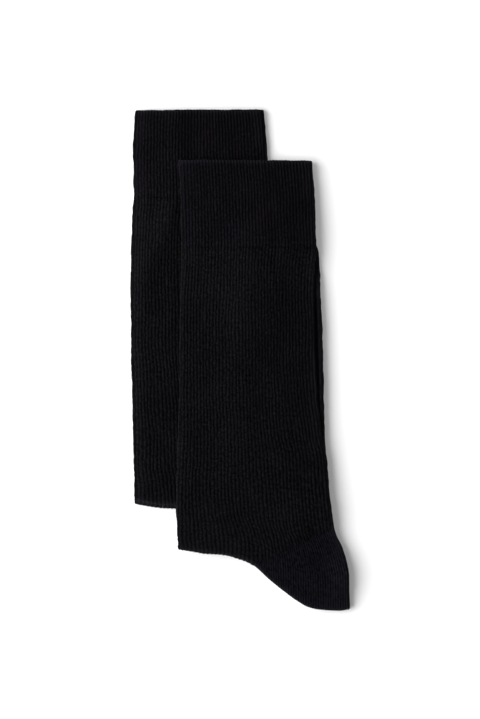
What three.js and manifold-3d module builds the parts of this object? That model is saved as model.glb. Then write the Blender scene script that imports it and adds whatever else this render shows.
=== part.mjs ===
// A pair of fine-ribbed mid-calf dress socks, laid flat on a table, one over the other.
// Each sock lies on its side as a knitted tube pressed flat, cuff to +Y. At the ankle the tube turns
// under itself, so the foot lies behind the leg with its toe below the cuff, and the heel pocket
// stands out at the lower right. The upper sock lies right of and below the under sock, and comes
// down to the table beside it.
// Millimetres, +Z up. The origin is under the middle of the pair's outline, on the table.
import * as THREE from "three";
import Module from "manifold-3d";

const wasm = await Module();
wasm.setup();
const { lerp, smoothstep, clamp, degToRad } = THREE.MathUtils;

// Cloth
const wall = 1.1; // one thickness of knit
const hollow = 0.3; // between the two walls of a tube pressed flat
const tube = 2 * wall + hollow; // a tube pressed flat
const ribHeight = 0.25; // how far a rib stands out of the wall
const ribsAcross = 41; // ribs on one face of the tube
const seamGap = 0.3; // between one knitted zone and the next
const clearance = 0.5; // between one flattened tube and the next

// How cloth comes down to the table beside what it covers
const ledge = 4; // it stays level this far past the edge below
const ownReach = 14; // and is down this far past the sock's own foot
const pairReach = 34; // or this far past the other sock

// The outside of the turn at the ankle, where the foot folds under the leg
const turnRadius = tube + clearance / 2;

// Courses of the leg, from the cuff's rim to the ankle fold, in the sock's own frame: x from the
// middle of the rim, y down from it. The front edge is the shin's and the back edge the calf's.
// foldShare is how far a course has bent to the fold's curve, and underShift moves the front edge
// of the under sock, which lies a little differently.
const legCourses = [
  { name: "rim", frontX: -44.5, frontY: 0, backX: 43.9, backY: 0, foldShare: 0, underShift: 1.9 },
  { name: "cuffHigh", frontX: -43.9, frontY: -12, backX: 44.6, backY: -12, foldShare: 0, underShift: 0.1 },
  { name: "cuffMiddle", frontX: -43.5, frontY: -21, backX: 45.1, backY: -21, foldShare: 0, underShift: 0 },
  { name: "cuffOverTip", frontX: -43.3, frontY: -30, backX: 45.5, backY: -30, foldShare: 0, underShift: -0.1 },
  { name: "cuffOverBrow", frontX: -43, frontY: -39, backX: 45.9, backY: -39, foldShare: 0, underShift: -0.2 },
  { name: "cuffLow", frontX: -42.8, frontY: -48, backX: 46.4, backY: -48, foldShare: 0, underShift: -0.4 },
  { name: "cuffEnd", frontX: -42.7, frontY: -57.7, backX: 46.7, backY: -57.7, foldShare: 0, underShift: -0.5 },
  { name: "overToe", frontX: -43.4, frontY: -69, backX: 45.8, backY: -69, foldShare: 0, underShift: -0.7 },
  { name: "overBall", frontX: -44, frontY: -81, backX: 45.3, backY: -81, foldShare: 0, underShift: -0.5 },
  { name: "calfTop", frontX: -44.9, frontY: -100, backX: 45.1, backY: -100, foldShare: 0, underShift: -0.5 },
  { name: "calf", frontX: -45.3, frontY: -135, backX: 46, backY: -135, foldShare: 0, underShift: -0.6 },
  { name: "shin", frontX: -45.5, frontY: -162, backX: 47.4, backY: -163, foldShare: 0, underShift: -0.3 },
  { name: "ankleTop", frontX: -45.8, frontY: -184, backX: 50.9, backY: -186, foldShare: 0.02, underShift: 0.2 },
  { name: "ankleBack", frontX: -45.9, frontY: -193, backX: 53.4, backY: -196, foldShare: 0.04, underShift: 0.4 },
  { name: "ankle", frontX: -46.1, frontY: -211, backX: 55.2, backY: -218, foldShare: 0.12, underShift: 0.9 },
  { name: "heelTop", frontX: -46, frontY: -233, backX: 58.1, backY: -245, foldShare: 0.35, underShift: 1.1 },
  { name: "heelUpper", frontX: -45.7, frontY: -241, backX: 64.2, backY: -258.5, foldShare: 0.57, underShift: 0.8 },
  { name: "heelLow", frontX: -45.3, frontY: -250, backX: 68.2, backY: -276, foldShare: 0.82, underShift: 0.5 },
  { name: "fold", frontX: -44.8, frontY: -255.8, backX: 68.2, backY: -294.5, foldShare: 1, underShift: 0.2 },
];

// Courses of the foot, from the ankle fold up behind the leg to the toe. The front edge is now the
// instep's and the back edge the sole's. thick is the share of the tube's thickness that is left.
const footCourses = [
  { name: "fold", frontX: -44.8, frontY: -255.8, backX: 68.2, backY: -294.5, foldShare: 1, thick: 1 },
  { name: "heelUnder", frontX: -43.8, frontY: -249, backX: 67.7, backY: -283, foldShare: 0.86, thick: 1 },
  { name: "soleStart", frontX: -41.5, frontY: -238, backX: 65.2, backY: -267, foldShare: 0.6, thick: 1 },
  { name: "instep", frontX: -38.8, frontY: -224, backX: 59.6, backY: -250, foldShare: 0.35, thick: 1 },
  { name: "archLow", frontX: -37.2, frontY: -205, backX: 54.9, backY: -226, foldShare: 0.12, thick: 1 },
  { name: "arch", frontX: -36.3, frontY: -182, backX: 52.6, backY: -190, foldShare: 0, thick: 1 },
  { name: "middle", frontX: -36.4, frontY: -150, backX: 51.5, backY: -153, foldShare: 0, thick: 1 },
  { name: "ball", frontX: -37.4, frontY: -118, backX: 50.8, backY: -118, foldShare: 0, thick: 1 },
  { name: "toeStart", frontX: -38.6, frontY: -92, backX: 49.7, backY: -92, foldShare: 0, thick: 1 },
  { name: "toeLow", frontX: -36, frontY: -76, backX: 48.5, backY: -77, foldShare: 0, thick: 1 },
  { name: "toeMiddle", frontX: -28.5, frontY: -61, backX: 47.5, backY: -64, foldShare: 0, thick: 1 },
  { name: "toeHigh", frontX: -17, frontY: -48.5, backX: 45, backY: -52, foldShare: 0, thick: 1 },
  { name: "toeBrow", frontX: -4, frontY: -40, backX: 40.5, backY: -42.5, foldShare: 0, thick: 1 },
  { name: "tip", frontX: 9, frontY: -35.5, backX: 32, backY: -35.5, foldShare: 0, thick: 0.8 },
  { name: "tipEnd", frontX: 12, frontY: -34.3, backX: 29, backY: -34.3, foldShare: 0, thick: 0.4 },
];

// The outline of the ankle fold, from the instep corner along to the heel's tip
const foldEdge = [
  { x: -44.8, y: -258.5 },
  { x: -28.7, y: -261.1 },
  { x: -15.3, y: -262.2 },
  { x: -5.3, y: -264.6 },
  { x: 4.7, y: -269 },
  { x: 14.7, y: -277.9 },
  { x: 24.7, y: -286 },
  { x: 34.7, y: -293.3 },
  { x: 41.3, y: -297 },
  { x: 48, y: -298.6 },
  { x: 62, y: -299.2 },
  { x: 68.2, y: -297.2 },
];

// The line where the heel pocket's plain knit begins
const goreLine = [
  { x: 4.9, y: -268 },
  { x: 12, y: -265.4 },
  { x: 23.2, y: -261 },
  { x: 36.5, y: -254 },
  { x: 48, y: -249 },
  { x: 58.1, y: -245.4 },
];
const pastTheEdge = 25; // how far the tool that cuts the heel out reaches past it

// Where each sock lies
const upperPlace = { x: 4.1, y: 132.5, turn: 0 };
const underPlace = { x: -27.9, y: 166.2, turn: degToRad(0.6) };
const underLength = 1.012; // the under sock lies this much longer

// Steps of the mesh
const faceSteps = 20; // across a plain face
const hollowSteps = 10; // across the hollow
const edgeSteps = 4; // round a folded edge
const turnSteps = 4; // round the ankle fold

// The height of the fold's outline at x, by straight runs between its rows
function foldHeight(x) {
  const next = clamp(
    foldEdge.findIndex((p) => p.x >= x),
    1,
    foldEdge.length - 1,
  );
  const [from, to] = [foldEdge[next - 1], foldEdge[next]];
  return lerp(from.y, to.y, clamp((x - from.x) / (to.x - from.x), 0, 1));
}

// A closed outline that can say how far a point lies outside it, or inside it below zero
function outlineOf(corners) {
  return (x, y) => {
    let nearest = Infinity;
    let inside = false;
    corners.forEach((a, i) => {
      const b = corners[(i + 1) % corners.length];
      const along = clamp(
        ((x - a.x) * (b.x - a.x) + (y - a.y) * (b.y - a.y)) / a.distanceToSquared(b),
        0,
        1,
      );
      nearest = Math.min(nearest, Math.hypot(x - lerp(a.x, b.x, along), y - lerp(a.y, b.y, along)));
      const crosses = a.y > y !== b.y > y;
      if (crosses && x < a.x + ((y - a.y) * (b.x - a.x)) / (b.y - a.y)) inside = !inside;
    });
    return inside ? -nearest : nearest;
  };
}

// One sock's courses as they lie, with the under sock's own length and front edge
function layOut(courses, isUnder) {
  return courses.map((c) => ({
    ...c,
    frontX: c.frontX + (isUnder ? (c.underShift ?? 0) : 0),
    frontY: c.frontY * (isUnder ? underLength : 1),
    backY: c.backY * (isUnder ? underLength : 1),
  }));
}

// The corners round a run of courses: up the front edge, over, and down the back edge
function cornersRound(courses) {
  const front = courses.map((c) => new THREE.Vector2(c.frontX, c.frontY));
  const back = courses.map((c) => new THREE.Vector2(c.backX, c.backY));
  return [...front, ...back.reverse()];
}

// Everything that shapes one sock: its courses, and the height that each of its layers rests at
function makeSock(isUnder, place, below) {
  const leg = layOut(legCourses, isUnder);
  const foot = layOut(footCourses, isUnder);
  const foldY = (x) => foldHeight(x) * (isUnder ? underLength : 1);
  const foldCorners = foldEdge.map((p) => new THREE.Vector2(p.x, foldY(p.x)));
  const legOutline = outlineOf([
    ...leg.map((c) => new THREE.Vector2(c.frontX, c.frontY)),
    ...foldCorners,
    ...leg.map((c) => new THREE.Vector2(c.backX, c.backY)).reverse(),
  ]);
  const footOutline = outlineOf([
    ...foot.map((c) => new THREE.Vector2(c.frontX, c.frontY)).reverse(),
    ...foldCorners,
    ...foot.map((c) => new THREE.Vector2(c.backX, c.backY)),
  ]);

  // A point of this sock's frame in the frame of the sock below it
  const spin = new THREE.Vector2();
  const toBelow = (x, y) =>
    spin
      .set(x + place.x - below.place.x, y + place.y - below.place.y)
      .rotateAround(new THREE.Vector2(), -below.place.turn);
  const footBase = (x, y) => {
    if (!below) return 0;
    const p = toBelow(x, y);
    const overLeg = covered(below.legOutline(p.x, p.y), pairReach);
    const overFoot = covered(below.footOutline(p.x, p.y), pairReach);
    return overLeg * (tube + ribHeight + clearance) + overFoot * (tube + clearance);
  };
  const legBase = (x, y) =>
    footBase(x, y) + covered(footOutline(x, y), ownReach) * (tube + clearance);
  return { leg, foot, foldY, legOutline, footOutline, footBase, legBase, place };
}

// 1 over an edge below and just past it, coming down to 0 at reach
function covered(distance, reach) {
  return 1 - smoothstep(distance, ledge, reach);
}

// The points round a flattened tube. across runs from the front edge to the back edge, bulge is how
// far a point stands out on a rounded edge, level is 1 on the face that shows and 0 on the other.
function tubeRing(topSteps, isRibbed) {
  const ring = [];
  for (let i = 0; i <= topSteps; i++) {
    ring.push({ across: i / topSteps, bulge: 0, level: 1, rib: isRibbed ? i % 2 : 0 });
  }
  for (let i = 1; i < edgeSteps; i++) {
    const angle = (Math.PI * i) / edgeSteps;
    ring.push({ across: 1, bulge: Math.sin(angle), level: 0.5 + Math.cos(angle) / 2, rib: 0 });
  }
  for (let i = faceSteps; i >= 0; i--) {
    ring.push({ across: i / faceSteps, bulge: 0, level: 0, rib: 0 });
  }
  for (let i = 1; i < edgeSteps; i++) {
    const angle = (Math.PI * i) / edgeSteps;
    ring.push({ across: 0, bulge: -Math.sin(angle), level: 0.5 - Math.cos(angle) / 2, rib: 0 });
  }
  return ring;
}

// The points round the hollow between the two walls, which stops a wall short of each edge
function hollowRing() {
  const half = hollow / 2 / tube;
  const run = [...Array(hollowSteps + 1).keys()].map((i) => i / hollowSteps);
  return [
    ...run.map((across) => ({ across, bulge: 0, level: 0.5 + half, rib: 0, inset: wall })),
    ...run.reverse().map((across) => ({ across, bulge: 0, level: 0.5 - half, rib: 0, inset: wall })),
  ];
}

// Where one point of a ring lies, at a station of the sock
function pointAt(sock, station, p) {
  const { course, part, angle } = station;
  const thick = course.thick ?? 1;
  const edge = (tube / 2) * thick;
  const inset = p.inset ?? 0;
  const x =
    lerp(course.frontX + edge + inset / 2, course.backX - edge - inset / 2, p.across) + edge * p.bulge;
  const share = (x - course.frontX) / (course.backX - course.frontX);
  const last = sock.leg.at(-1);
  const atFold = sock.foldY(x) + turnRadius - lerp(last.frontY, last.backY, share);
  const y = lerp(course.frontY, course.backY, share) + course.foldShare * atFold;
  const level = 0.5 + (p.level - 0.5) * thick;
  if (part === "leg") {
    return [x, y + station.push, sock.legBase(x, y) + tube * level + p.rib * ribHeight];
  }
  const base = sock.footBase(x, y);
  if (part === "foot") return [x, y + station.push, base + tube * (1 - level)];
  const fade = Math.max(0, Math.cos(angle / 1.5));
  const radius = clearance / 2 + tube * level + p.rib * ribHeight * fade;
  return [x, y - radius * Math.sin(angle), base + tube + clearance / 2 + radius * Math.cos(angle)];
}

// Stations along a sock. push moves a station along the tube, so that zones end apart.
const legStation = (sock, index, push = 0) => ({ part: "leg", course: sock.leg[index], push });
const footStation = (sock, index, push = 0) => ({ part: "foot", course: sock.foot[index], push });
const legRun = (sock, from, to) => sock.leg.slice(from, to + 1).map((_, i) => legStation(sock, from + i));
const footRun = (sock, from, to) => sock.foot.slice(from, to + 1).map((_, i) => footStation(sock, from + i));
const turnRun = (sock) =>
  [...Array(turnSteps - 1).keys()].map((i) => ({
    part: "turn",
    course: sock.leg.at(-1),
    angle: (Math.PI * (i + 1)) / turnSteps,
  }));
const indexOf = (courses, name) => courses.findIndex((c) => c.name === name);

// The faces that close an end of a tube, as a strip between the upper and lower runs of its ring
function endFaces(ring) {
  const along = ring.map((p) => p.across * faceSteps + p.bulge);
  const faces = [];
  let upper = along.indexOf(Math.min(...along));
  let lower = (upper + ring.length - 1) % ring.length;
  for (let i = 0; i < ring.length - 2; i++) {
    const nextUpper = (upper + 1) % ring.length;
    const nextLower = (lower + ring.length - 1) % ring.length;
    if (along[nextUpper] <= along[nextLower]) {
      faces.push([upper, lower, nextUpper]);
      upper = nextUpper;
    } else {
      faces.push([upper, lower, nextLower]);
      lower = nextLower;
    }
  }
  return faces;
}

// A closed solid through the same ring at each station
function loft(sock, stations, ring) {
  const vertices = stations.flatMap((s) => ring.flatMap((p) => pointAt(sock, s, p)));
  const n = ring.length;
  const faces = [];
  for (let s = 0; s + 1 < stations.length; s++) {
    for (let i = 0; i < n; i++) {
      const j = (i + 1) % n;
      faces.push([s * n + i, s * n + j, (s + 1) * n + j], [s * n + i, (s + 1) * n + j, (s + 1) * n + i]);
    }
  }
  const end = (stations.length - 1) * n;
  endFaces(ring).forEach(([a, b, c]) => faces.push([a, b, c], [end + a, end + c, end + b]));
  return solidOf(vertices, faces);
}

function solidOf(vertices, faces) {
  const make = (triangles) =>
    new wasm.Manifold(
      new wasm.Mesh({
        numProp: 3,
        vertProperties: new Float32Array(vertices),
        triVerts: new Uint32Array(triangles.flat()),
      }),
    );
  const solid = make(faces);
  return solid.volume() > 0 ? solid : make(faces.map(([a, b, c]) => [a, c, b]));
}

// An upright block over the heel pocket, moved by (dx, dy)
function heelBlock(dx, dy, stretch) {
  const last = goreLine.at(-1);
  const line = [
    { x: goreLine[0].x, y: goreLine[0].y - pastTheEdge * 2 },
    ...goreLine,
    { x: last.x + pastTheEdge, y: last.y + pastTheEdge / 3 },
    { x: last.x + pastTheEdge, y: goreLine[0].y - pastTheEdge * 2 },
  ];
  const shape = new THREE.Shape(line.map((p) => new THREE.Vector2(p.x + dx, p.y * stretch + dy)));
  const block = new THREE.ExtrudeGeometry(shape, { depth: 4 * pastTheEdge, bevelEnabled: false });
  block.translate(0, 0, -pastTheEdge);
  const positions = block.getAttribute("position");
  const keys = new Map();
  const vertices = [];
  const corner = (i) => {
    const at = [positions.getX(i), positions.getY(i), positions.getZ(i)];
    const key = at.map((v) => v.toFixed(4)).join();
    if (!keys.has(key)) {
      keys.set(key, keys.size);
      vertices.push(...at);
    }
    return keys.get(key);
  };
  const faces = [];
  for (let i = 0; i < positions.count; i += 3) faces.push([corner(i), corner(i + 1), corner(i + 2)]);
  return solidOf(vertices, faces);
}

function meshOf(name, solid, material) {
  const made = solid.getMesh();
  const geometry = new THREE.BufferGeometry();
  geometry.setAttribute("position", new THREE.BufferAttribute(new Float32Array(made.vertProperties), 3));
  geometry.setIndex(new THREE.BufferAttribute(new Uint32Array(made.triVerts), 1));
  const mesh = new THREE.Mesh(geometry, material);
  mesh.name = name;
  return mesh;
}

const ribbedKnit = new THREE.MeshStandardMaterial({ color: 0x1b1a1e, roughness: 0.95, metalness: 0 });
const cuffKnit = new THREE.MeshStandardMaterial({ color: 0x1a181d, roughness: 0.92, metalness: 0 });
const plainKnit = new THREE.MeshStandardMaterial({ color: 0x1e1d22, roughness: 0.9, metalness: 0 });

// One sock as a group of its five knitted zones
function sockGroup(prefix, sock, stretch) {
  const ribbed = tubeRing(2 * ribsAcross, true);
  const plain = tubeRing(faceSteps, false);
  const cuffEnd = indexOf(sock.leg, "cuffEnd");
  const fold = indexOf(sock.leg, "fold");
  const toeStart = indexOf(sock.foot, "toeStart");
  const tipEnd = indexOf(sock.foot, "tipEnd");
  const heelTop = indexOf(sock.leg, "heelTop") - 1;
  const heelFoot = indexOf(sock.foot, "archLow");
  const footStart = indexOf(sock.foot, "heelUnder");

  const inside = loft(
    sock,
    [
      legStation(sock, 0, 2),
      ...legRun(sock, 1, fold),
      ...turnRun(sock),
      ...footRun(sock, 0, indexOf(sock.foot, "toeBrow")),
    ],
    hollowRing(),
  );
  const pocket = heelBlock(0, 0, stretch);
  const aroundPocket = heelBlock(-seamGap, seamGap, stretch);

  const cuff = loft(sock, legRun(sock, 0, cuffEnd), ribbed).subtract(inside);
  const leg = loft(
    sock,
    [
      legStation(sock, cuffEnd, -seamGap),
      ...legRun(sock, cuffEnd + 1, fold),
      ...turnRun(sock),
      ...footRun(sock, 0, footStart),
    ],
    ribbed,
  )
    .subtract(aroundPocket)
    .subtract(inside);
  const heel = loft(
    sock,
    [...legRun(sock, heelTop, fold), ...turnRun(sock), ...footRun(sock, 0, heelFoot)],
    plain,
  )
    .intersect(pocket)
    .subtract(inside);
  const foot = loft(
    sock,
    [
      footStation(sock, footStart, 2 * seamGap),
      ...footRun(sock, footStart + 1, toeStart - 1),
      footStation(sock, toeStart, -seamGap),
    ],
    plain,
  )
    .subtract(aroundPocket)
    .subtract(inside);
  const toe = loft(sock, footRun(sock, toeStart, tipEnd), plain).subtract(inside);

  const group = new THREE.Group();
  group.add(
    meshOf(`${prefix}_cuff`, cuff, cuffKnit),
    meshOf(`${prefix}_leg`, leg, ribbedKnit),
    meshOf(`${prefix}_heel`, heel, plainKnit),
    meshOf(`${prefix}_foot`, foot, ribbedKnit),
    meshOf(`${prefix}_toe`, toe, plainKnit),
  );
  group.position.set(sock.place.x, sock.place.y, 0);
  group.rotation.z = sock.place.turn;
  return group;
}

const underSock = makeSock(true, underPlace, null);
const upperSock = makeSock(false, upperPlace, underSock);
const pair = new THREE.Group();
pair.add(sockGroup("under", underSock, underLength), sockGroup("upper", upperSock, 1));

export default pair;
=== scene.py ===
import math
import bpy
import numpy as np
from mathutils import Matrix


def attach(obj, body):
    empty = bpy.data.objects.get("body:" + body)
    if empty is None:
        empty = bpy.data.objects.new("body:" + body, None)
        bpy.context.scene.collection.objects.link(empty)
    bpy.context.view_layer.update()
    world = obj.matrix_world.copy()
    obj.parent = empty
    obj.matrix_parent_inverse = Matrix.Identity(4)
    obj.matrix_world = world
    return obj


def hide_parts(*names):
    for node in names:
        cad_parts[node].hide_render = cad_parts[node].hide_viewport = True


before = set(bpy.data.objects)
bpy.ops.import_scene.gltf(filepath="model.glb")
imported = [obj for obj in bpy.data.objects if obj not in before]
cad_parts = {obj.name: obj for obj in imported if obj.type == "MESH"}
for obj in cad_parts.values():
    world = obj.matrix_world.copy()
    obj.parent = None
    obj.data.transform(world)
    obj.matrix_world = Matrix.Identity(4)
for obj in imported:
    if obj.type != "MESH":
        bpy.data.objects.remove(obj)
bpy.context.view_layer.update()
mm = 0.001

# A pair of near-black ribbed dress socks, laid flat, one over the other, seen from straight above.
# Each sock is a knitted tube pressed flat, with its foot folded up behind its leg.
# Lengths are in millimetres up to the point where a mesh is made.

cloth = {
    "wall": 1.1,         # one thickness of knit
    "hollow": 0.3,       # between the two walls of a tube
    "clearance": 0.5,    # between one flattened tube and the next
    "ribs": 41,          # on one face of the tube
    "edgeRibs": 2,       # round a folded edge
    "ledge": 3,          # past its own foot the cloth stays level this far
    "ownReach": 26,      # and is down this far past it
    "pairLedge": -8,     # it starts down this far inside the other sock's edge
    "pairReach": 52,     # and is down this far past it
    "ribRoom": 0.25,     # left over the under sock for its ribs
    "pressed": 6,        # the other sock presses the cloth flat from this far inside its edge
}
tube = 2 * cloth["wall"] + cloth["hollow"]
turnRadius = tube + cloth["clearance"] / 2

# Courses down the leg: frontX, frontY, backX, backY, share of the fold's curve,
# and how far the under sock's front edge is shifted
legCourses = {
    "rim": (-44.5, 0, 43.5, -0.5, 0, 3.1),
    "cuffHigh": (-43.9, -12, 44.6, -12, 0, 1.2),
    "cuffMiddle": (-43.5, -21, 45.1, -21, 0, 0.4),
    "cuffOverTip": (-43.3, -30, 45.5, -30, 0, -0.1),
    "cuffOverBrow": (-43, -39, 45.9, -39, 0, -0.2),
    "cuffLow": (-42.8, -48, 46.4, -48, 0, -0.4),
    "cuffEnd": (-42.7, -57.7, 46.7, -57.7, 0, -0.5),
    "overToe": (-42.7, -69, 45.6, -69, 0, -1.4),
    "overBall": (-43, -81, 45.0, -81, 0, -1.5),
    "calfTop": (-43.7, -100, 45.1, -100, 0, -1.7),
    "calf": (-44, -135, 46.2, -135, 0, -1.9),
    "shin": (-44.3, -162, 47.9, -163, 0, -1.5),
    "ankleTop": (-44.9, -184, 50.9, -186, 0.02, -0.7),
    "ankleBack": (-45.2, -193, 53.1, -196, 0.04, -0.3),
    "ankle": (-45.8, -211, 55.0, -218, 0.12, 0.6),
    "heelTop": (-46, -233, 58.8, -245, 0.35, 1.1),
    "heelUpper": (-45.7, -241, 64.7, -258.5, 0.57, 0.8),
    "heelLow": (-45.3, -250, 68.4, -276, 0.82, 0.5),
    "fold": (-44.8, -255.8, 68.7, -294.5, 1, 0.2),
}

# Courses up the foot, behind the leg: frontX, frontY, backX, backY, share of the fold's curve,
# and share of the full thickness
footCourses = {
    "fold": (-44.8, -255.8, 68.2, -294.5, 1, 1),
    "heelUnder": (-43.8, -249, 67.7, -283, 0.86, 1),
    "soleStart": (-41.5, -238, 65.2, -267, 0.6, 1),
    "instep": (-38.8, -224, 59.6, -250, 0.35, 1),
    "archLow": (-37.2, -205, 54.9, -226, 0.12, 1),
    "arch": (-36.3, -182, 52.6, -190, 0, 1),
    "middle": (-36.4, -150, 51.5, -153, 0, 1),
    "ball": (-37.4, -118, 50.8, -118, 0, 1),
    "toeStart": (-38.6, -92, 49.7, -92, 0, 1),
    "toeLow": (-36, -76, 49.2, -77, 0, 1),
    "toeMiddle": (-28.5, -61, 48.6, -64, 0, 1),
    "toeHigh": (-17, -48.5, 45, -52, 0, 1),
    "toeBrow": (-4, -40, 40.5, -42.5, 0, 1),
    "tip": (9, -35.5, 32, -35.5, 0, 0.8),
    "tipEnd": (12, -34.3, 29, -34.3, 0, 0.3),
}

# The outline of the ankle fold, from the instep corner along to the heel's tip
foldEdge = [
    (-44.8, -258.5), (-28.7, -261.1), (-15.3, -262.2), (-5.3, -264.6), (4.7, -269), (14.7, -277.9),
    (24.7, -286), (34.7, -293.3), (41.3, -297), (48, -298.6), (62, -299.4), (68.7, -298.6),
]
# The line where the heel pocket's plain knit begins
goreLine = [(4.9, -268), (12, -265.4), (23.2, -261), (36.5, -254), (48, -249), (58.1, -245.4)]

places = {
    "upper": {"x": 4.1, "y": 132.5, "turn": 0, "stretch": 1, "seed": 3},
    "under": {"x": -27.9, "y": 166.2, "turn": math.radians(0.6), "stretch": 1.012, "seed": 11},
}


def smooth(x, low, high):
    t = np.clip((x - low) / (high - low), 0, 1)
    return t * t * (3 - 2 * t)


def curveThrough(knots, values, at):
    # a curve through rows of values that never overshoots them
    knots, values = np.asarray(knots, float), np.asarray(values, float)
    steps = np.diff(knots)[:, None]
    slopes = np.diff(values, axis=0) / steps
    before, after = slopes[:-1], slopes[1:]
    both = before * after > 0
    mean = np.where(both, 2 * before * after / np.where(both, before + after, 1), 0)
    tangents = np.vstack([slopes[:1], mean, slopes[-1:]])
    at = np.atleast_1d(np.clip(at, knots[0], knots[-1]))
    i = np.clip(np.searchsorted(knots, at, side="right") - 1, 0, len(knots) - 2)
    h = steps[i]
    t = ((at - knots[i]) / h[:, 0])[:, None]
    return (values[i] * (1 + 2 * t) * (1 - t) ** 2 + tangents[i] * h * t * (1 - t) ** 2
            + values[i + 1] * t * t * (3 - 2 * t) + tangents[i + 1] * h * t * t * (t - 1))


def softNoise(x, y, seed):
    # smooth noise from -1 to 1, one lump to a unit
    def corner(i, j):
        n = np.sin(i * 127.1 + j * 311.7 + seed * 74.7) * 43758.5453
        return n - np.floor(n)
    i, j = np.floor(x), np.floor(y)
    u, v = x - i, y - j
    u, v = u * u * (3 - 2 * u), v * v * (3 - 2 * v)
    low = corner(i, j) * (1 - u) + corner(i + 1, j) * u
    high = corner(i, j + 1) * (1 - u) + corner(i + 1, j + 1) * u
    return 2 * (low * (1 - v) + high * v) - 1


def outside(corners, x, y):
    # how far points lie outside a closed outline, negative inside it
    a = np.asarray(corners, float)
    b = np.roll(a, -1, axis=0)
    edge = b - a
    nearest = np.full(x.shape, 1e9)
    inside = np.zeros(x.shape, bool)
    for (ax, ay), (bx, by), (ex, ey) in zip(a, b, edge):
        t = np.clip(((x - ax) * ex + (y - ay) * ey) / max(ex * ex + ey * ey, 1e-9), 0, 1)
        nearest = np.minimum(nearest, np.hypot(x - ax - t * ex, y - ay - t * ey))
        if ay != by:
            inside ^= ((ay > y) != (by > y)) & (x < ax + (y - ay) * ex / (by - ay))
    return np.where(inside, -nearest, nearest)


class Sock:
    # one sock's courses as they lie, and the height that each layer rests at
    def __init__(self, side, below=None):
        self.side, self.below, self.above = side, below, None
        self.place = places[side]
        stretch = self.place["stretch"]
        shifted = side == "under"
        self.leg = np.array([(fx + shift * shifted, fy * stretch, bx, by * stretch, share, 1)
                             for fx, fy, bx, by, share, shift in legCourses.values()])
        self.foot = np.array([(fx, fy * stretch, bx, by * stretch, share, thick)
                              for fx, fy, bx, by, share, thick in footCourses.values()])
        self.fold = np.array([(x, y * stretch) for x, y in foldEdge])
        self.legRun, self.footRun = self.along(self.leg), self.along(self.foot)
        self.legOutline = np.vstack([self.leg[:, :2], self.fold, self.leg[::-1, 2:4]])
        self.footOutline = np.vstack([self.foot[::-1, :2], self.fold, self.foot[:, 2:4]])

    def along(self, courses):
        # distance down the middle of the courses
        middle = (courses[:, 0:2] + courses[:, 2:4]) / 2
        steps = np.hypot(*np.diff(middle, axis=0).T)
        return np.concatenate([[0], np.cumsum(steps)])

    def at(self, part, name):
        run = self.legRun if part == "leg" else self.footRun
        names = list(legCourses if part == "leg" else footCourses)
        return run[names.index(name)]

    def foldY(self, x):
        return curveThrough(self.fold[:, 0], self.fold[:, 1:], x.ravel())[:, 0].reshape(x.shape)

    def covered(self, outline, x, y, ledge, reach):
        return 1 - smooth(outside(outline, x, y), cloth[ledge], cloth[reach])

    def inFrameOf(self, other, x, y):
        world = self.toWorld(np.stack([x, y, 0 * x], -1))
        dx, dy = world[..., 0] - other.place["x"], world[..., 1] - other.place["y"]
        c, s = math.cos(-other.place["turn"]), math.sin(-other.place["turn"])
        return dx * c - dy * s, dx * s + dy * c

    def footBase(self, x, y):
        if self.below is None:
            return np.zeros(x.shape)
        bx, by = self.inFrameOf(self.below, x, y)
        step = tube + cloth["clearance"]
        overLeg = self.covered(self.below.legOutline, bx, by, "pairLedge", "pairReach")
        overFoot = self.covered(self.below.footOutline, bx, by, "pairLedge", "pairReach")
        return overLeg * (step + cloth["ribRoom"]) + overFoot * step

    def legBase(self, x, y):
        lift = self.covered(self.footOutline, x, y, "ledge", "ownReach")
        return self.footBase(x, y) + lift * (tube + cloth["clearance"])

    def free(self, points):
        # 1 where nothing lies on this sock, and 0 where the other presses it flat
        if self.above is None:
            return 1.0
        x, y = self.inFrameOf(self.above, points[..., 0], points[..., 1])
        return smooth(outside(self.above.legOutline, x, y), -cloth["pressed"], 0)

    def toWorld(self, points):
        c, s = math.cos(self.place["turn"]), math.sin(self.place["turn"])
        x, y, z = np.moveaxis(points, -1, 0)
        return np.stack([x * c - y * s + self.place["x"], x * s + y * c + self.place["y"], z], -1)


# Rows of a sock have these columns: the part is 0 for the leg, 1 for the turn and 2 for the foot,
# the angle is how far round the turn, and the run is the distance along the tube
rowColumns = ["frontX", "frontY", "backX", "backY", "share", "thick", "part", "angle", "run"]


def column(rows, name):
    return rows[:, [rowColumns.index(name)]]


def legRows(sock, start, end, step):
    run = np.linspace(start, end, max(2, round((end - start) / step) + 1))
    courses = curveThrough(sock.legRun, sock.leg, run)
    return np.column_stack([courses, 0 * run, 0 * run, run])


def turnRows(sock, count):
    angle = np.linspace(0, math.pi, count + 1)[1:-1]
    courses = np.repeat(sock.leg[-1:], len(angle), axis=0)
    run = sock.legRun[-1] + angle * turnRadius
    return np.column_stack([courses, 0 * angle + 1, angle, run])


def footRows(sock, start, end, step):
    run = np.linspace(start, end, max(2, round((end - start) / step) + 1))
    courses = curveThrough(sock.footRun, sock.foot, run)
    along = sock.legRun[-1] + math.pi * turnRadius + run
    return np.column_stack([courses, 0 * run + 2, 0 * run, along])


def foldRows(sock, start, end, legStep, turnSteps, footStep):
    # down the leg, round the ankle fold and up the foot
    return np.vstack([legRows(sock, start, sock.legRun[-1], legStep), turnRows(sock, turnSteps),
                      footRows(sock, 0, end, footStep)])


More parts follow.
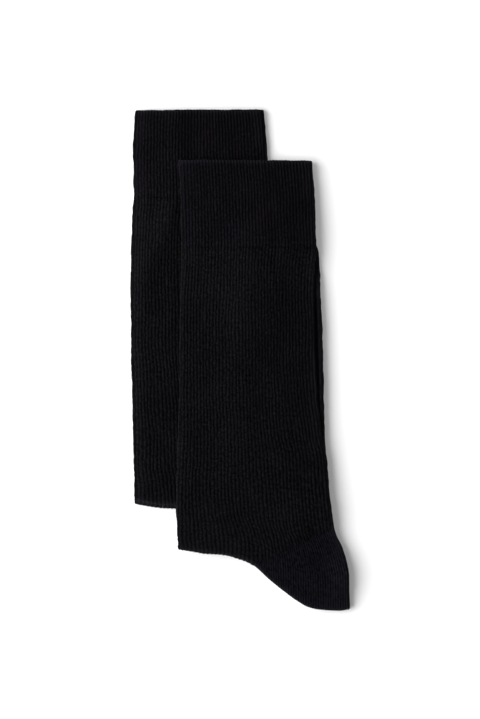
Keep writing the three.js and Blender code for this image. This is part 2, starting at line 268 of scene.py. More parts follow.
def ringOf(perRib, perRibFar):
    # points round a flattened tube: near wall, back edge, far wall, front edge
    ribs, edge = cloth["ribs"], cloth["edgeRibs"]
    near = np.arange(ribs * perRib) / perRib
    back = ribs + np.arange(edge * perRib) / perRib
    far = ribs + edge + np.arange(ribs * perRibFar) / perRibFar
    front = 2 * ribs + edge + np.arange(edge * perRib) / perRib
    count = np.concatenate([near, back, far, front])
    across = np.concatenate([near / ribs, 0 * back + 1, 1 - (far - ribs - edge) / ribs, 0 * front])
    angle = math.pi * np.concatenate([0 * near, (back - ribs) / edge, 0 * far + 1,
                                      1 + (front - 2 * ribs - edge) / edge])
    return {"perRib": perRib, "count": count, "across": across,
            "outX": np.sin(angle), "outUp": np.cos(angle)}


def layDown(sock, rows, ring, out=0.0, lift=0.0, farLift=0.0, inside=False):
    # the rows' points in the sock's own frame; out swells the cloth, and each lift moves one wall away
    fx, fy, bx, by, share, thick, part, angle, _ = (column(rows, name) for name in rowColumns)
    edge = tube / 2 * thick
    inset = cloth["wall"] if inside else 0
    level = cloth["hollow"] / tube * ring["outUp"] / 2 if inside else ring["outUp"] / 2
    bulge = 0 if inside else ring["outX"]
    left, right = fx + edge + inset / 2, bx - edge - inset / 2
    x = left + (right - left) * ring["across"] + edge * bulge + ring["outX"] * out
    along = (x - fx) / (bx - fx)
    lastY = sock.leg[-1, 1] + (sock.leg[-1, 3] - sock.leg[-1, 1]) * along
    y = fy + (by - fy) * along + share * (sock.foldY(x) + turnRadius - lastY)
    up = tube * (0.5 + level * thick) + ring["outUp"] * out
    up = up + lift * (0.5 + ring["outUp"] / 2) - farLift * (0.5 - ring["outUp"] / 2)
    footZ = sock.footBase(x, y)
    legZ = np.where(part == 0, sock.legBase(x, y), 0)
    radius = cloth["clearance"] / 2 + up
    z = np.where(part == 0, legZ + up,
                 np.where(part == 2, footZ + tube - up,
                          footZ + tube + cloth["clearance"] / 2 + radius * np.cos(angle)))
    y = np.where(part == 1, y - radius * np.sin(angle), y)
    return np.stack([x, y, z], -1)


# Soft ridges and troughs where the cloth lies over what is under it, in the pair's own frame:
# from x, from y, to x, to y, width, height
folds = {
    "upper": [
        (9, 81, 7, 44, 12.5, 2.6),         # over the under sock's middle
        (21, 60, 20, 30, 9, 0.9),
        (31, 101, 30, 72, 9, 1.7),
        (-13, 113, -12, 100, 7, 0.9),
        (55, -45, 62, -98, 13, 1.4),
        (3, 34, 0, -60, 12, 1.6),
        (48.5, 66, 52.5, -60, 4, 0.9),     # beside the right edge
        (59, -80, 62, -98, 11, 0.7),
        (53, 134, 54, 78, 17, 3.3),        # the cuff stands a little full at its right
        (47, 134, 48, 112, 4.5, 1.2),
        (18, 94, 19, 78, 6, 0.7),          # across the cuff
        (19, 66, 24, 42, 1.8, 0.35),
        (26, 64, 27, 40, 1.8, 0.3),
        (-33, 160, -31, 100, 16, 2.2),     # down the left of the cuff
        (-36, -100, 0, -125, 9, 0.5),      # above the ankle fold
        (-5, -70, 40, -100, 10, 0.4),
        (51, -114, 62, -122, 6, -1.6),     # small dents in the heel
        (54, -134, 60, -146, 6, -1.3),
    ],
    "under": [
        (-46, 100, -58, 68, 8, 2.3),       # bright band below the cuff
        (-60, 62, -65, 38, 8, 1.0),
        (-66, 142, -64, 112, 9, 0.8),
        (-52, 150, -10, 136, 10, 0.4),
        (14.5, 172, 16.5, 145, 5, 2.4),    # the cuff's right edge stands full
        (-66, 158, -16, 159, 6, 0.6),      # along the mouth
        (-60, -60, -48, -90, 6, 0.4),
    ],
}
# The near wall rises from the left edge by this much over this width,
# and loses it again between these distances
edgeRise = {"upper": (0.35, 1.2, 400, 500), "under": (2.2, 4.5, 26, 42)}


def foldHeights(sock, points, front):
    world = sock.toWorld(points)
    x, y = world[..., 0], world[..., 1]
    rise, width, kept, gone = edgeRise[sock.side]
    fromFront = points[..., 0] - front
    height = rise * (1 - np.exp(-(fromFront / width) ** 2)) * (1 - smooth(fromFront, kept, gone))
    for ax, ay, bx, by, width, rise in folds[sock.side]:
        dx, dy = bx - ax, by - ay
        t = ((x - ax) * dx + (y - ay) * dy) / (dx * dx + dy * dy)
        away = np.hypot(x - ax - np.clip(t, 0, 1) * dx, y - ay - np.clip(t, 0, 1) * dy)
        height += rise * np.exp(-(away / width) ** 2)
    return height


def gridFaces(rowCount, ringCount):
    # quads from each row to the next, and from the last row to the first
    i, j = np.arange(rowCount)[:, None], np.arange(ringCount)[None, :]
    nextI, nextJ = (i + 1) % rowCount, (j + 1) % ringCount
    return np.stack([i * ringCount + j, i * ringCount + nextJ,
                     nextI * ringCount + nextJ, nextI * ringCount + j], -1).reshape(-1, 4)


def knitUvs(phases, runs):
    # the UVs of each face's four corners: ribs round the tube and millimetres along it
    whole = 2 * (cloth["ribs"] + cloth["edgeRibs"])
    rowCount, ringCount = phases.shape
    nextI, nextJ = np.roll(np.arange(rowCount), -1), np.roll(np.arange(ringCount), -1)
    nextU = phases[:, nextJ] + np.where(nextJ == 0, whole, 0)
    v = np.repeat(runs[:, None], ringCount, axis=1)
    return (np.stack([phases, nextU, nextU[nextI], phases[nextI]], -1).reshape(-1, 4),
            np.stack([v, v, v[nextI], v[nextI]], -1).reshape(-1, 4))


def meshOf(name, points, faces, knitU, knitV, material):
    # the rows run down the tube, so each face is turned to point outwards
    mesh = bpy.data.meshes.new(name)
    mesh.from_pydata((points.reshape(-1, 3) * mm).tolist(), [], faces[:, ::-1].tolist())
    layer = mesh.uv_layers.new(name="knit")
    layer.data.foreach_set("uv", np.stack([knitU, knitV], -1)[:, ::-1].astype(np.float32).ravel())
    mesh.polygons.foreach_set("use_smooth", np.ones(len(mesh.polygons), bool))
    mesh.materials.append(material)
    piece = bpy.data.objects.new(name, mesh)
    bpy.context.scene.collection.objects.link(piece)
    return piece


def nearWallLift(sock, rows, ring, look, inside=False):
    # how far the near wall stands off the flat tube, by its crown, its folds and its zone's own form
    base = layDown(sock, rows, ring, inside=inside)
    lift = look["crown"] * np.sin(math.pi * ring["across"])
    if look["folded"]:
        lift = lift + foldHeights(sock, base, column(rows, "frontX"))
    if "lift" in look:
        lift = lift + look["lift"](sock, rows, ring)
    return lift * (column(rows, "part") == 0) * sock.free(base)


# A folded edge stands out further than the flat cloth, wavers slowly and has small notches
foldedEdge = {"swell": 0.3, "waver": 0.22, "notch": 0.22}


def tubePiece(sock, zone, outer, inner, ring, material):
    # a closed shell: the outer rows down the tube, and the inner rows back up it
    look, count, seed = zones[zone], ring["count"], sock.place["seed"]
    run = column(outer, "run")
    # the ribs drift together and one by one, and are fuller in some places than in others
    drift = look["wander"] * softNoise(count / 5 + 0 * run, run / 22, seed)
    phase = count + drift + look["jitter"] * softNoise(count * 1.3 + 0 * run, run / 3.1, seed + 1)
    wale = 1 - np.abs(np.cos(math.pi * phase)) ** 2.2
    strength = 1 + look["patchy"] * softNoise(count / 2 + 0 * run, run / 7, seed + 2)
    lumps = look["lumps"] * softNoise(count / 3 + 0 * run, run / 6, seed + 4)
    out = look["ribHeight"] * wale * strength + lumps
    if "shape" in look:
        out = out + look["shape"](sock, outer, ring, phase)
    waver = foldedEdge["waver"] * softNoise(run / 9 + 0 * count, count / 40, seed + 6)
    notch = foldedEdge["notch"] * softNoise(run / 2.3 + 0 * count, count / 40, seed + 7)
    out = out + (foldedEdge["swell"] + waver + notch) * np.abs(ring["outX"])

    stand = look.get("stand", lambda sock, rows, ring: 0.0)
    lift = nearWallLift(sock, outer, ring, look)
    outerPoints = layDown(sock, outer, ring, out, lift, stand(sock, outer, ring))
    lift = nearWallLift(sock, inner, ring, look, inside=True)
    innerPoints = layDown(sock, inner, ring, 0.0, lift, stand(sock, inner, ring), inside=True)[::-1]
    blocks, runs = [outerPoints, innerPoints], [run[:, 0], column(inner, "run")[::-1, 0]]
    if "rim" in look:
        # the rim rolls over from the inside to the outside, scalloped by the ribs
        rim, first, last = look["rim"], outerPoints[0], innerPoints[-1]
        uneven = rim["waver"] * softNoise(ring["across"] * 22, ring["outUp"], seed + 8)
        for a in np.linspace(math.pi, 0, rim["steps"] + 2)[1:-1]:
            roll = (first + last) / 2 + (first - last) / 2 * math.cos(a)
            roll[:, 1] += math.sin(a) * (rim["roll"] + rim["scallop"] * wale[0] + uneven)
            blocks.append(roll[None])
            runs.append([-math.sin(a)])

    points = sock.toWorld(np.concatenate(blocks))
    faces = gridFaces(len(points), len(count))
    phases = np.vstack([phase, np.repeat(count[None], len(points) - len(phase), axis=0)])
    knitU, knitV = knitUvs(phases, np.concatenate(runs))
    if look.get("closed"):
        faces, knitU, knitV = closeTip(faces, knitU, knitV, len(outer), ring)
    return meshOf(sock.side + zone.capitalize(), points, faces, knitU, knitV, material)


def closeTip(faces, knitU, knitV, outerCount, ring):
    # takes out the band from the last outer row to the first inner row, and closes each flat across
    ringCount = len(ring["count"])
    keep = np.ones(len(faces), bool)
    keep[(outerCount - 1) * ringCount:outerCount * ringCount] = False
    faces, knitU, knitV = faces[keep], knitU[keep], knitV[keep]
    j = np.arange(ringCount // 2 - 1)
    for row, turned in ((outerCount - 1, False), (outerCount, True)):
        low, high = row * ringCount + j, (row + 1) * ringCount - 1 - j
        strip = np.stack([low, low + 1, high - 1, high], -1)
        faces = np.vstack([faces, strip[:, ::-1] if turned else strip])
        knitU = np.vstack([knitU, np.repeat(j[:, None] / ring["perRib"], 4, axis=1)])
        knitV = np.vstack([knitV, np.zeros((len(j), 4))])
    return faces, knitU, knitV


# The upright block that parts the heel pocket from the leg and the foot, and the angle of a sharp cut edge
heelBlock = {"past": 25, "rise": 25 / 3, "below": 50, "low": -20.0, "high": 40.0, "points": 25, "sharp": 50}


def heelPrism(sock):
    block, gore = heelBlock, np.array(goreLine)
    (startX, startY), (endX, endY) = goreLine[0], goreLine[-1]
    xs = np.linspace(startX, endX, block["points"])
    line = [(startX, startY - block["below"])]
    line += list(zip(xs, curveThrough(gore[:, 0], gore[:, 1:], xs)[:, 0]))
    line += [(endX + block["past"], endY + block["rise"]), (endX + block["past"], startY - block["below"])]
    flat = np.array([(x, y * sock.place["stretch"]) for x, y in line])
    n = len(flat)
    low = np.column_stack([flat, np.full(n, block["low"])])
    high = np.column_stack([flat, np.full(n, block["high"])])
    points = sock.toWorld(np.vstack([low, high])) * mm
    sides = [(i, i + n, (i + 1) % n + n, (i + 1) % n) for i in range(n)]
    mesh = bpy.data.meshes.new("prism")
    mesh.from_pydata(points.tolist(), [], sides + [tuple(range(n)), tuple(range(2 * n - 1, n - 1, -1))])
    prism = bpy.data.objects.new("prism", mesh)
    bpy.context.scene.collection.objects.link(prism)
    return prism


def cutWith(piece, prism, operation):
    cut = piece.modifiers.new("cut", "BOOLEAN")
    cut.object, cut.operation, cut.solver = prism, operation, "MANIFOLD"
    done = piece.evaluated_get(bpy.context.evaluated_depsgraph_get())
    mesh = bpy.data.meshes.new_from_object(done)
    piece.modifiers.remove(cut)
    old = piece.data
    piece.data = mesh
    mesh.name = piece.name
    bpy.data.meshes.remove(old)
    mesh.set_sharp_from_angle(angle=math.radians(heelBlock["sharp"]))


# Materials
class Nodes:
    # short ways to add the nodes of one material
    def __init__(self, name):
        self.material = bpy.data.materials.new(name)
        self.material.use_nodes = True
        self.tree = self.material.node_tree
        self.shader = self.tree.nodes["Principled BSDF"]

    def put(self, value, socket):
        if isinstance(value, bpy.types.NodeSocket):
            self.tree.links.new(value, socket)
        else:
            socket.default_value = value

    def math(self, operation, a, b=0.0, c=0.0):
        node = self.tree.nodes.new("ShaderNodeMath")
        node.operation = operation
        for value, socket in zip((a, b, c), node.inputs):
            self.put(value, socket)
        return node.outputs[0]

    def noise(self, vector, scale, detail=2.0, roughness=0.5):
        node = self.tree.nodes.new("ShaderNodeTexNoise")
        self.put(vector, node.inputs["Vector"])
        node.inputs["Scale"].default_value = scale
        node.inputs["Detail"].default_value = detail
        node.inputs["Roughness"].default_value = roughness
        return node.outputs["Fac"]

    def mix(self, share, a, b):
        node = self.tree.nodes.new("ShaderNodeMix")
        node.data_type = "RGBA"
        for value, socket in zip((share, a, b), (node.inputs[0], node.inputs[6], node.inputs[7])):
            self.put(value, socket)
        return node.outputs[2]

    def near(self, value, middle, width):
        # 1 at the middle, falling off smoothly on both sides
        away = self.math("DIVIDE", self.math("SUBTRACT", value, middle), width)
        return self.math("EXPONENT", self.math("MULTIPLY", self.math("MULTIPLY", away, away), -1.0))

    def clamp(self, value):
        return self.math("MINIMUM", self.math("MAXIMUM", value, 0.0), 1.0)

    def fading(self, distance, reach):
        # 1 at no distance, and 0 from the reach on
        return self.math("MAXIMUM", self.math("SUBTRACT", 1.0, self.math("DIVIDE", distance, reach)), 0.0)

    def combine(self, x, y):
        node = self.tree.nodes.new("ShaderNodeCombineXYZ")
        self.put(x, node.inputs[0])
        self.put(y, node.inputs[1])
        return node.outputs[0]


# Where things are on the tube: the folded edges in ribs round it, the rest in millimetres along it
tubeMarks = {
    "front": 86.0, "back": 42.0, "ankle": 279.5, "welt": 1.4, "litOverToe": 74.0,
    "seamLight": 54.6, "seamDark": 57.9, "heelLoops": 277.6,
}
loopsPerRib = 1.2  # raised loops along the heel's lower fold


def knitMaterial(name, look):
    n = Nodes(name)
    uv = n.tree.nodes.new("ShaderNodeUVMap")
    uv.uv_map = "knit"
    parts = n.tree.nodes.new("ShaderNodeSeparateXYZ")
    n.put(uv.outputs[0], parts.inputs[0])
    ribs, run = parts.outputs[0], parts.outputs[1]
    place = n.tree.nodes.new("ShaderNodeTexCoord").outputs["Object"]

    def streaks(perRib, perMillimetre, detail, roughness):
        # noise drawn out round the tube or along it
        vector = n.combine(n.math("MULTIPLY", ribs, perRib), n.math("MULTIPLY", run, perMillimetre))
        return n.noise(vector, 1.0, detail, roughness)

    # wales stand across, courses run along, and each loop is a slanting pair of strands
    wales = n.math("MULTIPLY", ribs, look["walesPerRib"])
    loose = n.noise(place, 900, 2.0, 0.6)
    phase = n.math("FRACT", wales)
    fromMiddle = n.math("ABSOLUTE", n.math("SUBTRACT", phase, 0.5))
    crest = n.math("SUBTRACT", 1.0, n.math("POWER", n.math("MULTIPLY", fromMiddle, 2.0), 2.5))
    courses = n.math("DIVIDE", run, look["courseHeight"])
    slant = n.math("MULTIPLY_ADD", fromMiddle, look["slant"], courses)
    jogged = n.math("MULTIPLY_ADD", loose, look["uneven"], slant)
    strand = n.math("SINE", n.math("MULTIPLY", jogged, 2 * math.pi))
    strand = n.math("MULTIPLY_ADD", strand, 0.5, 0.5)
    strand = n.math("MULTIPLY_ADD", strand, look["loopDepth"], 1 - look["loopDepth"])
    loops = n.math("MULTIPLY", crest, strand)

    # fibres run along the strands, and dye takes a little unevenly
    fibre = streaks(7.0, 1.6, 3.0, 0.7)
    dashes = streaks(1.1, 0.35, 3.0, 0.6)
    grain = streaks(look["grainAcross"], look["grainAlong"], 2.0, 0.7)
    dye = n.noise(place, 55, 3.0, 0.55)
    # painted shade: the knit's colour is darker off the crests of the wales and loops, in the grooves
    # between them
    tone = n.math("MULTIPLY_ADD", loops, look["grooveShade"], n.math("MULTIPLY", dashes, look["dashes"]))
    uneven = n.math("MULTIPLY_ADD", dye, 0.5, n.math("MULTIPLY_ADD", fibre, 0.3, look["base"]))
    tone = n.math("ADD", tone, uneven)
    tone = n.math("MULTIPLY_ADD", n.math("SUBTRACT", grain, 0.5), look["grain"], tone)
    # painted light: a paler band below the cuff, where the cloth rises over the toe toward the lamps
    tone = n.math("MULTIPLY_ADD", n.near(run, tubeMarks["litOverToe"], 30.0), look["litOverToe"], tone)
    # painted light: the heel and toe knit is paler toward the back edge, the side turned away from the
    # lamps
    fromBack = n.math("ABSOLUTE", n.math("SUBTRACT", ribs, tubeMarks["back"]))
    tone = n.math("MULTIPLY_ADD", n.fading(fromBack, 14.0), look["backEdgeLight"], tone)
    # the rolled rim catches more light, and so does the cuff's end above its dark seam
    welt = n.fading(n.math("MAXIMUM", run, 0.0), tubeMarks["welt"])
    tone = n.math("MULTIPLY_ADD", welt, look["welt"], tone)
    tone = n.math("MULTIPLY_ADD", n.near(run, tubeMarks["seamLight"], 1.8), look["seamLight"], tone)
    tone = n.math("MULTIPLY_ADD", n.near(run, tubeMarks["seamDark"], 1.1), -look["seamDark"], tone)
    # painted highlight on the heel's raised loops along its lower fold
    loopHighlight = n.math("SINE", n.math("MULTIPLY_ADD", ribs, 2 * math.pi * loopsPerRib, -math.pi / 2))
    loopHighlight = n.math("MULTIPLY_ADD", loopHighlight, 0.5, 0.5)
    loopHighlight = n.math("MULTIPLY", n.near(run, tubeMarks["heelLoops"], 0.9), loopHighlight)
    tone = n.clamp(n.math("MULTIPLY_ADD", loopHighlight, look["loopHighlight"], tone))
    tint = n.clamp(n.math("MULTIPLY_ADD", n.noise(place, 85, 1.0, 0.5), 3.0, -1.0))
    light = n.mix(tint, (*look["cool"], 1), (*look["warm"], 1))
    # painted highlight: the knit is paler along the folded edges, the ankle fold and the rim, where fuzzy
    # yarn catches light
    foldHighlight = n.math("ADD", n.near(ribs, tubeMarks["front"], 1.2), n.near(ribs, 0.0, 0.4))
    foldHighlight = n.math("MULTIPLY", foldHighlight, 0.06)
    foldHighlight = n.math("MULTIPLY_ADD", n.near(ribs, tubeMarks["back"], 1.1), 0.6, foldHighlight)
    foldHighlight = n.math("ADD", foldHighlight, n.near(run, tubeMarks["ankle"], 3.2))
    foldHighlight = n.math("MULTIPLY_ADD", n.near(run, 0.3, 1.5), 0.4, foldHighlight)
    foldHighlight = n.math("MULTIPLY", foldHighlight, n.math("MULTIPLY_ADD", dashes, 1.2, -0.1))
    foldHighlight = n.math("MINIMUM", n.math("MULTIPLY", foldHighlight, look["foldHighlight"]), 1.0)
    knit = n.mix(tone, (*look["dark"], 1), light)
    n.put(n.mix(foldHighlight, knit, (*look["pale"], 1)), n.shader.inputs["Base Color"])
    n.put(n.math("MULTIPLY_ADD", fibre, 0.12, look["roughness"] - 0.06), n.shader.inputs["Roughness"])

    relief = n.math("ADD", loops, n.math("MULTIPLY_ADD", fibre, 0.35, n.math("MULTIPLY", loose, 0.25)))
    relief = n.math("MULTIPLY_ADD", grain, look["grainRelief"], relief)
    bump = n.tree.nodes.new("ShaderNodeBump")
    bump.inputs["Strength"].default_value = look["bump"]
    bump.inputs["Distance"].default_value = look["relief"] * mm
    n.put(relief, bump.inputs["Height"])
    n.put(bump.outputs[0], n.shader.inputs["Normal"])
    n.shader.inputs["Specular IOR Level"].default_value = look["specular"]
    n.shader.inputs["Sheen Weight"].default_value = look["sheen"]
    n.shader.inputs["Sheen Roughness"].default_value = 0.3
    n.shader.inputs["Sheen Tint"].default_value = (0.85, 0.82, 1, 1)
    return n.material


# Colours, then the knit's own form, then how light its parts are, painted shade and highlights among them,
# then its surface
knits = {
    "cuff": {
        "dark": (0.0014, 0.0013, 0.0018), "cool": (0.0058, 0.0054, 0.0072),
        "warm": (0.0066, 0.0054, 0.0070), "pale": (0.0115, 0.0110, 0.0140),
        "walesPerRib": 1, "courseHeight": 1.1, "slant": 1.1, "uneven": 0.5, "loopDepth": 0.45,
        "grain": 2.7, "grainAcross": 1.4, "grainAlong": 0.6, "grainRelief": 1.5,
        "grooveShade": 0.7, "dashes": 0.5, "base": -0.84, "litOverToe": 0.08, "backEdgeLight": 0.0, "welt": 0.45,
        "seamLight": 0.1, "seamDark": 0.1, "loopHighlight": 0.0, "foldHighlight": 0.9,
        "bump": 0.8, "relief": 0.34, "roughness": 0.9, "specular": 0.012, "sheen": 0.04,
    },
    "leg": {
        "dark": (0.0011, 0.00108, 0.0014), "cool": (0.0057, 0.0058, 0.0073),
        "warm": (0.0064, 0.0058, 0.0069), "pale": (0.0115, 0.0110, 0.0140),
        "walesPerRib": 1, "courseHeight": 1.15, "slant": 1.1, "uneven": 0.9, "loopDepth": 0.55,
        "grain": 2.7, "grainAcross": 1.4, "grainAlong": 0.6, "grainRelief": 1.8,
        "grooveShade": 0.65, "dashes": 0.65, "base": -0.74, "litOverToe": 0.09, "backEdgeLight": 0.0, "welt": 0.45,
        "seamLight": 0.1, "seamDark": 0.1, "loopHighlight": 0.0, "foldHighlight": 0.9,
        "bump": 0.85, "relief": 0.37, "roughness": 0.92, "specular": 0.012, "sheen": 0.04,
    },
    "plain": {
        "dark": (0.0009, 0.0008, 0.0012), "cool": (0.0050, 0.0050, 0.0072),
        "warm": (0.0056, 0.0050, 0.0070), "pale": (0.0110, 0.0108, 0.0145),
        "walesPerRib": 1.65, "courseHeight": 1.3, "slant": 0.8, "uneven": 1.2, "loopDepth": 0.4,
        "grain": 2.9, "grainAcross": 1.7, "grainAlong": 0.5, "grainRelief": 1.5,
        "grooveShade": 0.7, "dashes": 1.2, "base": -0.92, "litOverToe": 0.0, "backEdgeLight": 0.35, "welt": 0.0,
        "seamLight": 0.0, "seamDark": 0.0, "loopHighlight": 0.5, "foldHighlight": 0.9,
        "bump": 0.95, "relief": 0.55, "roughness": 0.9, "specular": 0.015, "sheen": 0.04,
    },
}
materials = {name: knitMaterial(name + "Knit", look) for name, look in knits.items()}
print("materials made")

# How each mouth stands open: how far, how far down the tube, how much it leans right, how full it is there
mouths = {
    "upper": {"height": 0.8, "reach": 16, "lean": 1, "edge": 0.4},
    "under": {"height": 4.0, "reach": 20, "lean": 3, "edge": 0.3},
}


def mouthLift(sock, rows, ring):
    mouth = mouths[sock.side]
    opened = mouth["height"] * np.exp(-(column(rows, "run") / mouth["reach"]) ** 2)
    return opened * np.maximum(np.sin(math.pi * ring["across"] ** mouth["lean"]), 0) ** mouth["edge"]


heelCup = {"height": 4.8, "x": 79, "y": -276, "width": 19, "length": 22, "foldReach": 16}


def heelLift(sock, rows, ring):
    # the heel pocket keeps its cup and doesn't press flat, most at its outer edge
    points = layDown(sock, rows, ring)
    x, y = points[..., 0], points[..., 1] / sock.place["stretch"]
    cup = heelCup["height"] * np.exp(-((x - heelCup["x"]) / heelCup["width"]) ** 2
                                     - ((y - heelCup["y"]) / heelCup["length"]) ** 2)
    return cup * smooth(y - sock.foldY(x) - turnRadius, 0, heelCup["foldReach"])


heelSeam = {
    "groove": 0.2, "grooveWidth": 1.5, "grooveFrom": (2, 8),
    "loops": 0.6, "angle": 0.75, "spread": 0.35, "loopsFrom": (4, 9), "loopsTo": (50, 58),
}


def heelSeams(sock, rows, ring, phase):
    # a shallow groove where heel and leg are knitted together, and raised loops along the heel's fold
    points = layDown(sock, rows, ring)
    x, y = points[..., 0], points[..., 1] / sock.place["stretch"]
    gore = np.array(goreLine)
    goreY = curveThrough(gore[:, 0], gore[:, 1:], x.ravel())[:, 0].reshape(x.shape)
    groove = -heelSeam["groove"] * np.exp(-((y - goreY) / heelSeam["grooveWidth"]) ** 2)
    raised = np.exp(-((column(rows, "angle") - heelSeam["angle"]) / heelSeam["spread"]) ** 2)
    loops = heelSeam["loops"] * raised * (0.5 - 0.5 * np.cos(2 * math.pi * loopsPerRib * phase))
    loops = loops * smooth(x, *heelSeam["loopsFrom"]) * (1 - smooth(x, *heelSeam["loopsTo"]))
    groove = groove * smooth(x, *heelSeam["grooveFrom"])
    return groove * (column(rows, "part") == 0) + loops * (column(rows, "part") == 1)


footStand = {"height": 4.0, "inside": 1.1, "width": 1.9, "from": (-225, -195), "to": (-90, -60)}


def footRidge(sock, rows, ring):
    # the back edge of the folded foot stands up beside the leg
    if sock.side == "under":
        return 0.0
    points = layDown(sock, rows, ring)
    fromEdge = column(rows, "backX") - points[..., 0]
    run = smooth(points[..., 1], *footStand["from"]) * (1 - smooth(points[..., 1], *footStand["to"]))
    return footStand["height"] * run * np.exp(-((fromEdge - footStand["inside"]) / footStand["width"]) ** 2)


# How each zone of a sock is shaped
zones = {
    "cuff": {"ribHeight": 0.3, "wander": 0.15, "jitter": 0.12, "patchy": 0.6, "lumps": 0.08, "crown": 0.4,
             "folded": True, "lift": mouthLift,
             "rim": {"steps": 5, "roll": 0.55, "scallop": 0.3, "waver": 0.3}},
    "leg": {"ribHeight": 0.29, "wander": 0.3, "jitter": 0.16, "patchy": 0.6, "lumps": 0.12, "crown": 0.4,
            "folded": True, "lift": heelLift, "shape": heelSeams},
    "heel": {"ribHeight": 0.0, "wander": 0.1, "jitter": 0.0, "patchy": 0.0, "lumps": 0.1, "crown": 0.4,
             "folded": True, "lift": heelLift, "shape": heelSeams},
    "foot": {"ribHeight": 0.22, "wander": 0.2, "jitter": 0.1, "patchy": 0.4, "lumps": 0.08, "crown": 0.0,
             "folded": False, "stand": footRidge},
    "toe": {"ribHeight": 0.0, "wander": 0.1, "jitter": 0.0, "patchy": 0.0, "lumps": 0.08, "crown": 0.0,
            "folded": False, "stand": footRidge, "closed": True},
}
# How far apart the rows are in millimetres, outside and inside. Leg and heel go round the ankle fold,
# so theirs are down the leg, then the steps round the turn, then up the foot.
rowSteps = {
    "cuff": {"outer": 1.5, "inner": 8},
    "leg": {"outer": (1.9, 8, 2), "inner": (12, 4, 4)},
    "heel": {"outer": (1.6, 8, 2), "inner": (8, 4, 8)},
    "foot": {"outer": 2.2, "inner": 12},
    "toe": {"outer": 1.6, "inner": 6, "tipWall": 1.5},
}


def makeSock(sock):
    fine, plain = ringOf(6, 4), ringOf(4, 4)
    cuffEnd, heelStart = sock.at("leg", "cuffEnd"), sock.at("leg", "ankle")
    footStart, toeStart = sock.at("foot", "heelUnder"), sock.at("foot", "toeStart")
    heelEnd, tip = sock.at("foot", "archLow"), sock.footRun[-1]
    steps = rowSteps
    # each zone's outer and inner rows, its ring of points and its knit
    plan = {
        "cuff": (legRows(sock, 0, cuffEnd, steps["cuff"]["outer"]),
                 legRows(sock, 0, cuffEnd, steps["cuff"]["inner"]), fine, "cuff"),
        "leg": (foldRows(sock, cuffEnd, footStart, *steps["leg"]["outer"]),
                foldRows(sock, cuffEnd, footStart, *steps["leg"]["inner"]), fine, "leg"),
        "heel": (foldRows(sock, heelStart, heelEnd, *steps["heel"]["outer"]),
                 foldRows(sock, heelStart, heelEnd, *steps["heel"]["inner"]), plain, "plain"),
        "foot": (footRows(sock, footStart, toeStart, steps["foot"]["outer"]),
                 footRows(sock, footStart, toeStart, steps["foot"]["inner"]), plain, "leg"),
        "toe": (footRows(sock, toeStart, tip, steps["toe"]["outer"]),
                footRows(sock, toeStart, tip - steps["toe"]["tipWall"], steps["toe"]["inner"]),
                plain, "plain"),
    }
    made = {zone: tubePiece(sock, zone, outer, inner, ring, materials[knit])
            for zone, (outer, inner, ring, knit) in plan.items()}

    prism = heelPrism(sock)
    cutWith(made["heel"], prism, "INTERSECT")
    cutWith(made["leg"], prism, "DIFFERENCE")
    cutWith(made["foot"], prism, "DIFFERENCE")
    bpy.data.objects.remove(prism)
    print(sock.side, "sock made:", {zone: len(piece.data.polygons) for zone, piece in made.items()})
    return made


underSock = Sock("under")
upperSock = Sock("upper", underSock)
underSock.above = upperSock

# Each sock's pieces hang under the root body, and the model's matching parts are hidden
for sock, restsOn in ((underSock, []), (upperSock, ["underLeg", "underHeel", "underCuff"])):
    for zone, piece in makeSock(sock).items():
        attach(piece, "root")
        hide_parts(sock.side + "_" + zone)
print("socks laid")

# Studio: a white table, a soft key light from the left and a pale surround, in metres and watts
studio = {
    "tableSize": 6.0, "tableDrop": 0.0003, "tableColour": (0.86, 0.86, 0.86), "tableUneven": 1.02,
    "surround": 0.25, "cameraPlace": (0.0001, 0.00036, 4.0), "viewHeight": 0.47933, "sensor": 36,
}
# The low lamp casts the table's soft shadow, and the others shape the knit
lamps = {
    "low": {"place": (-1.15, -0.05, 1.0), "size": 2.1, "power": 54.0, "shadow": True, "lights": "table"},
    "key": {"place": (-1.2, -0.05, 0.98), "size": 1.25, "power": 44.0, "shadow": True, "lights": "socks"},
    "fill": {"place": (-0.8, 1.1, 0.75), "size": 1.0, "power": 11.0, "shadow": False, "lights": "both"},
    "rim": {"place": (-1.6, 0.2, 0.2), "size": 0.3, "power": 16.0, "shadow": True, "lights": "socks"},
    "back": {"place": (1.5, -0.3, 0.28), "size": 0.5, "power": 4.0, "shadow": True, "lights": "socks"},
    "foot": {"place": (-0.4, -1.5, 0.3), "size": 0.5, "power": 6.0, "shadow": True, "lights": "socks"},
}


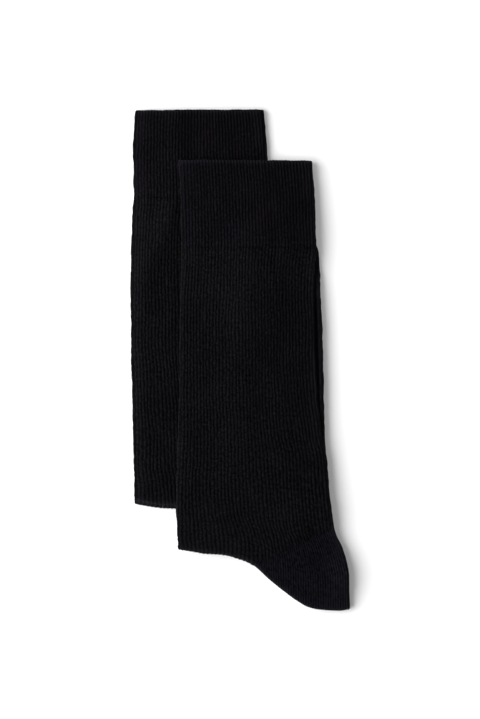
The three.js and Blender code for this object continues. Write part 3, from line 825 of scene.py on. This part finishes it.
def buildStudio(look):
    half = look["tableSize"] / 2
    mesh = bpy.data.meshes.new("table")
    corners = [(x * half, y * half, -look["tableDrop"]) for x, y in ((-1, -1), (1, -1), (1, 1), (-1, 1))]
    mesh.from_pydata(corners, [], [(0, 1, 2, 3)])
    table = bpy.data.objects.new("table", mesh)
    n = Nodes("tableWhite")
    place = n.tree.nodes.new("ShaderNodeTexCoord").outputs["Object"]
    shade = n.noise(place, 3.0, 2.0)
    light = tuple(min(1, c * look["tableUneven"]) for c in look["tableColour"])
    n.put(n.mix(shade, (*look["tableColour"], 1), (*light, 1)), n.shader.inputs["Base Color"])
    n.shader.inputs["Roughness"].default_value = 0.9
    n.shader.inputs["Specular IOR Level"].default_value = 0.1
    mesh.materials.append(n.material)
    bpy.context.scene.collection.objects.link(table)

    tableOnly = bpy.data.collections.new("tableOnly")
    tableOnly.objects.link(table)
    notTable = bpy.data.collections.new("notTable")
    notTable.objects.link(table)
    notTable.collection_objects[0].light_linking.link_state = "EXCLUDE"
    receivers = {"table": tableOnly, "socks": notTable, "both": None}
    for name, lamp in lamps.items():
        light = bpy.data.lights.new(name, "AREA")
        light.shape, light.size, light.energy = "DISK", lamp["size"], lamp["power"]
        light.use_shadow = lamp["shadow"]
        holder = bpy.data.objects.new(name, light)
        holder.location = lamp["place"]
        holder.rotation_mode = "QUATERNION"
        holder.rotation_quaternion = (-holder.location).to_track_quat("-Z", "Y")
        holder.light_linking.receiver_collection = receivers[lamp["lights"]]
        bpy.context.scene.collection.objects.link(holder)

    world = bpy.data.worlds.new("surround")
    world.use_nodes = True
    world.node_tree.nodes["Background"].inputs[0].default_value = (1, 1, 1, 1)
    world.node_tree.nodes["Background"].inputs[1].default_value = look["surround"]
    bpy.context.scene.world = world
    bpy.context.scene.view_settings.view_transform = "Standard"

    camera = bpy.data.cameras.new("camera")
    camera.sensor_width = look["sensor"]
    camera.lens = look["sensor"] * look["cameraPlace"][2] / look["viewHeight"]
    camera.clip_end = 50
    eye = bpy.data.objects.new("camera", camera)
    eye.location = look["cameraPlace"]
    bpy.context.scene.collection.objects.link(eye)
    bpy.context.scene.camera = eye


buildStudio(studio)
print("studio set")
